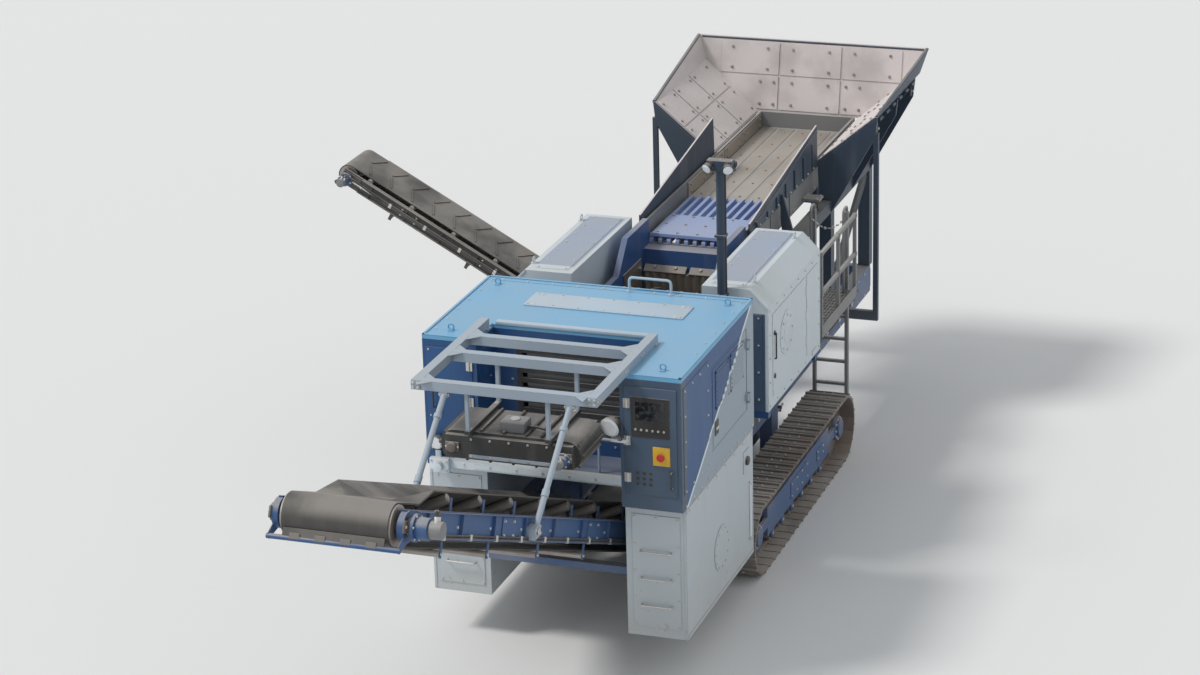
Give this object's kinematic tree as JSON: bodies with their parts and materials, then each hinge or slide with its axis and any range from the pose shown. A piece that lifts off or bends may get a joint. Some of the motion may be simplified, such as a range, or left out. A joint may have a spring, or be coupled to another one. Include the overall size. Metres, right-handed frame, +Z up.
{
  "type": "jaw crusher",
  "caption": "Tracked mobile jaw crusher with feed hopper, grizzly feeder, toothed jaws, flywheel guards, engine deck, side conveyor and overhanging discharge conveyor.",
  "frame": {"origin": "on the ground under the middle of the machine's outline", "axes": "+Z up, +Y along the machine towards the feed hopper, +X across, away from the side conveyor"},
  "size_m": [6.1704, 15.31, 4.76],
  "materials": {
    "white_panels": "satin",
    "sky_blue_panels": "satin",
    "navy_steel": "dusty satin",
    "blue_paint": "dusty satin",
    "grey_paint": "dusty matte",
    "dark_paint": "dusty matte",
    "jaw_castings": "worn bright",
    "cast_parts": "matte",
    "bare_steel": "worn",
    "track_pads": "dusty",
    "belt_rubber": "dusty matte"
  },
  "bodies": {
    "machine": {"main_frame": "blue_paint", "left_track_frame": "blue_paint", "right_track_frame": "blue_paint", "left_track_wheels": "bare_steel", "right_track_wheels": "bare_steel", "left_track_chain": "track_pads", "right_track_chain": "track_pads", "crusher_body": "navy_steel", "fixed_jaw_plate": "jaw_castings", "swing_jaw": "blue_paint", "swing_jaw_plate": "jaw_castings", "toggle_plate": "cast_parts", "eccentric_shaft": "bare_steel", "left_flywheel": "cast_parts", "right_flywheel": "cast_parts", "left_flywheel_guard": "white_panels", "right_flywheel_guard": "white_panels", "feeder_trough": "grey_paint", "grizzly_bars": "bare_steel", "feeder_springs": "bare_steel", "feeder_drive": "blue_paint", "hopper_left_wall": "navy_steel", "hopper_right_wall": "navy_steel", "hopper_rear_wall": "navy_steel", "hopper_supports": "blue_paint", "fines_chute": "grey_paint", "main_conveyor_frame": "blue_paint", "main_conveyor_belt": "belt_rubber", "main_conveyor_rollers": "bare_steel", "power_pack_body": "blue_paint", "power_pack_roof": "sky_blue_panels", "radiator_grille": "dark_paint", "engine_block": "grey_paint", "conveyor_stays": "grey_paint", "left_tank": "white_panels", "right_tank": "white_panels", "front_beam": "white_panels", "magnet_frame": "grey_paint", "overband_magnet": "dark_paint", "light_mast": "navy_steel", "service_platform": "grey_paint"},
    "side_conveyor": {"side_conveyor_frame": "dark_paint", "side_conveyor_belt": "belt_rubber", "side_conveyor_rollers": "bare_steel"},
    "engine_door": {"power_pack_door": "blue_paint"}
  },
  "joints": [
    {"name": "side_conveyor_fold", "type": "hinge", "parent": "machine", "child": "side_conveyor", "pos_m": [0.54324, 3.345, 1.45], "axis": [0, 1, 0], "range_deg": [0, 50]},
    {"name": "engine_door_hinge", "type": "hinge", "parent": "machine", "child": "engine_door", "pos_m": [3.06724, -0.305, 2.7], "axis": [0, 0, 1], "range_deg": [0, 100]}
  ]
}
